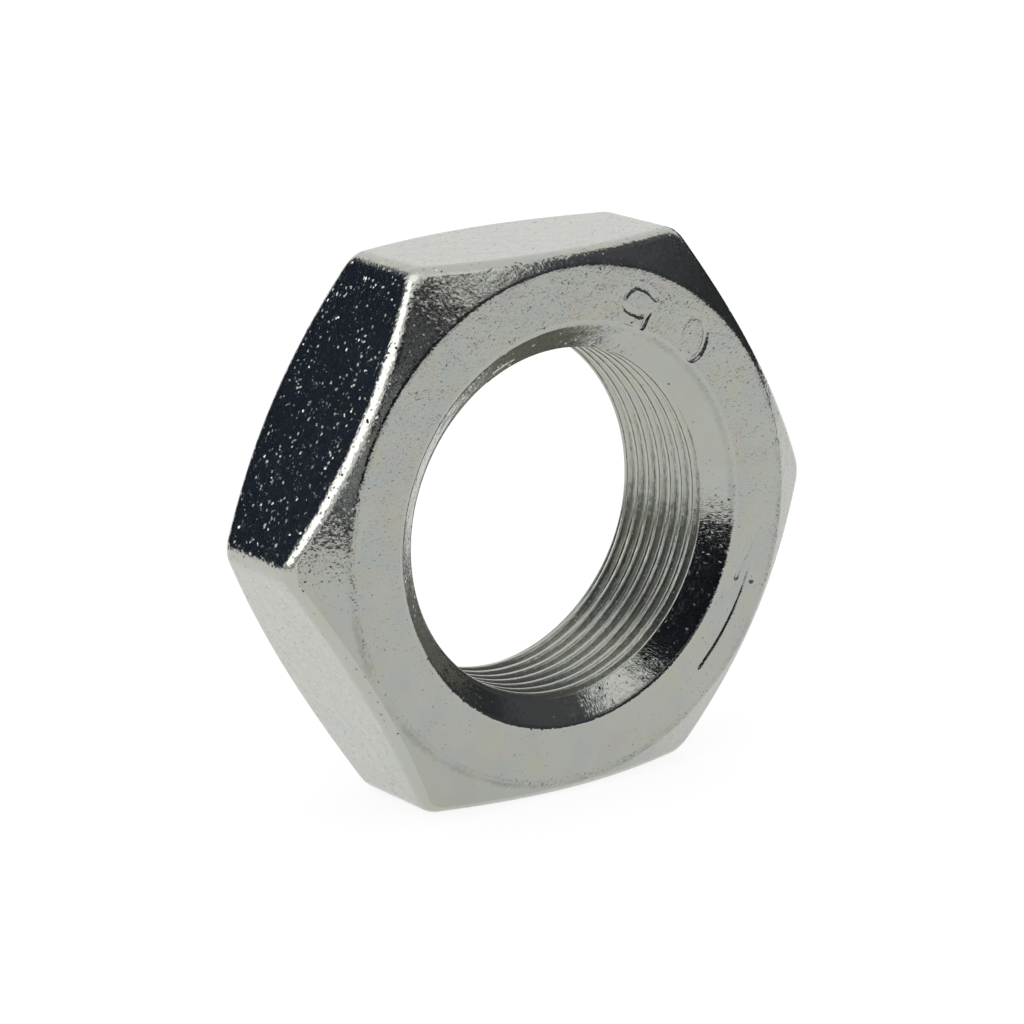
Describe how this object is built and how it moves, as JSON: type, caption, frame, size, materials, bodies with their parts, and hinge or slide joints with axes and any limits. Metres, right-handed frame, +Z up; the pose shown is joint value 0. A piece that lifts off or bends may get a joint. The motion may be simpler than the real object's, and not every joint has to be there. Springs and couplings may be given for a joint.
{
  "type": "hexagon thin nut",
  "caption": "Thin hexagon lock nut, chamfered on both faces, with a countersunk bore for a fine left-hand thread; it tightens anticlockwise on a bolt or shaft.",
  "frame": {"origin": "on the thread's axis, halfway through the thickness", "axes": "+Y along the thread's axis, towards the unmarked face; +Z up, square to the flat that the nut stands on; +X across two opposite corners"},
  "size_m": [0.0514, 0.0146, 0.045],
  "materials": {
    "zinc_plated_steel": "bright zinc plating, lightly pitted and handled"
  },
  "bodies": {
    "root": {"hexagon_nut": "zinc_plated_steel"}
  },
  "joints": []
}
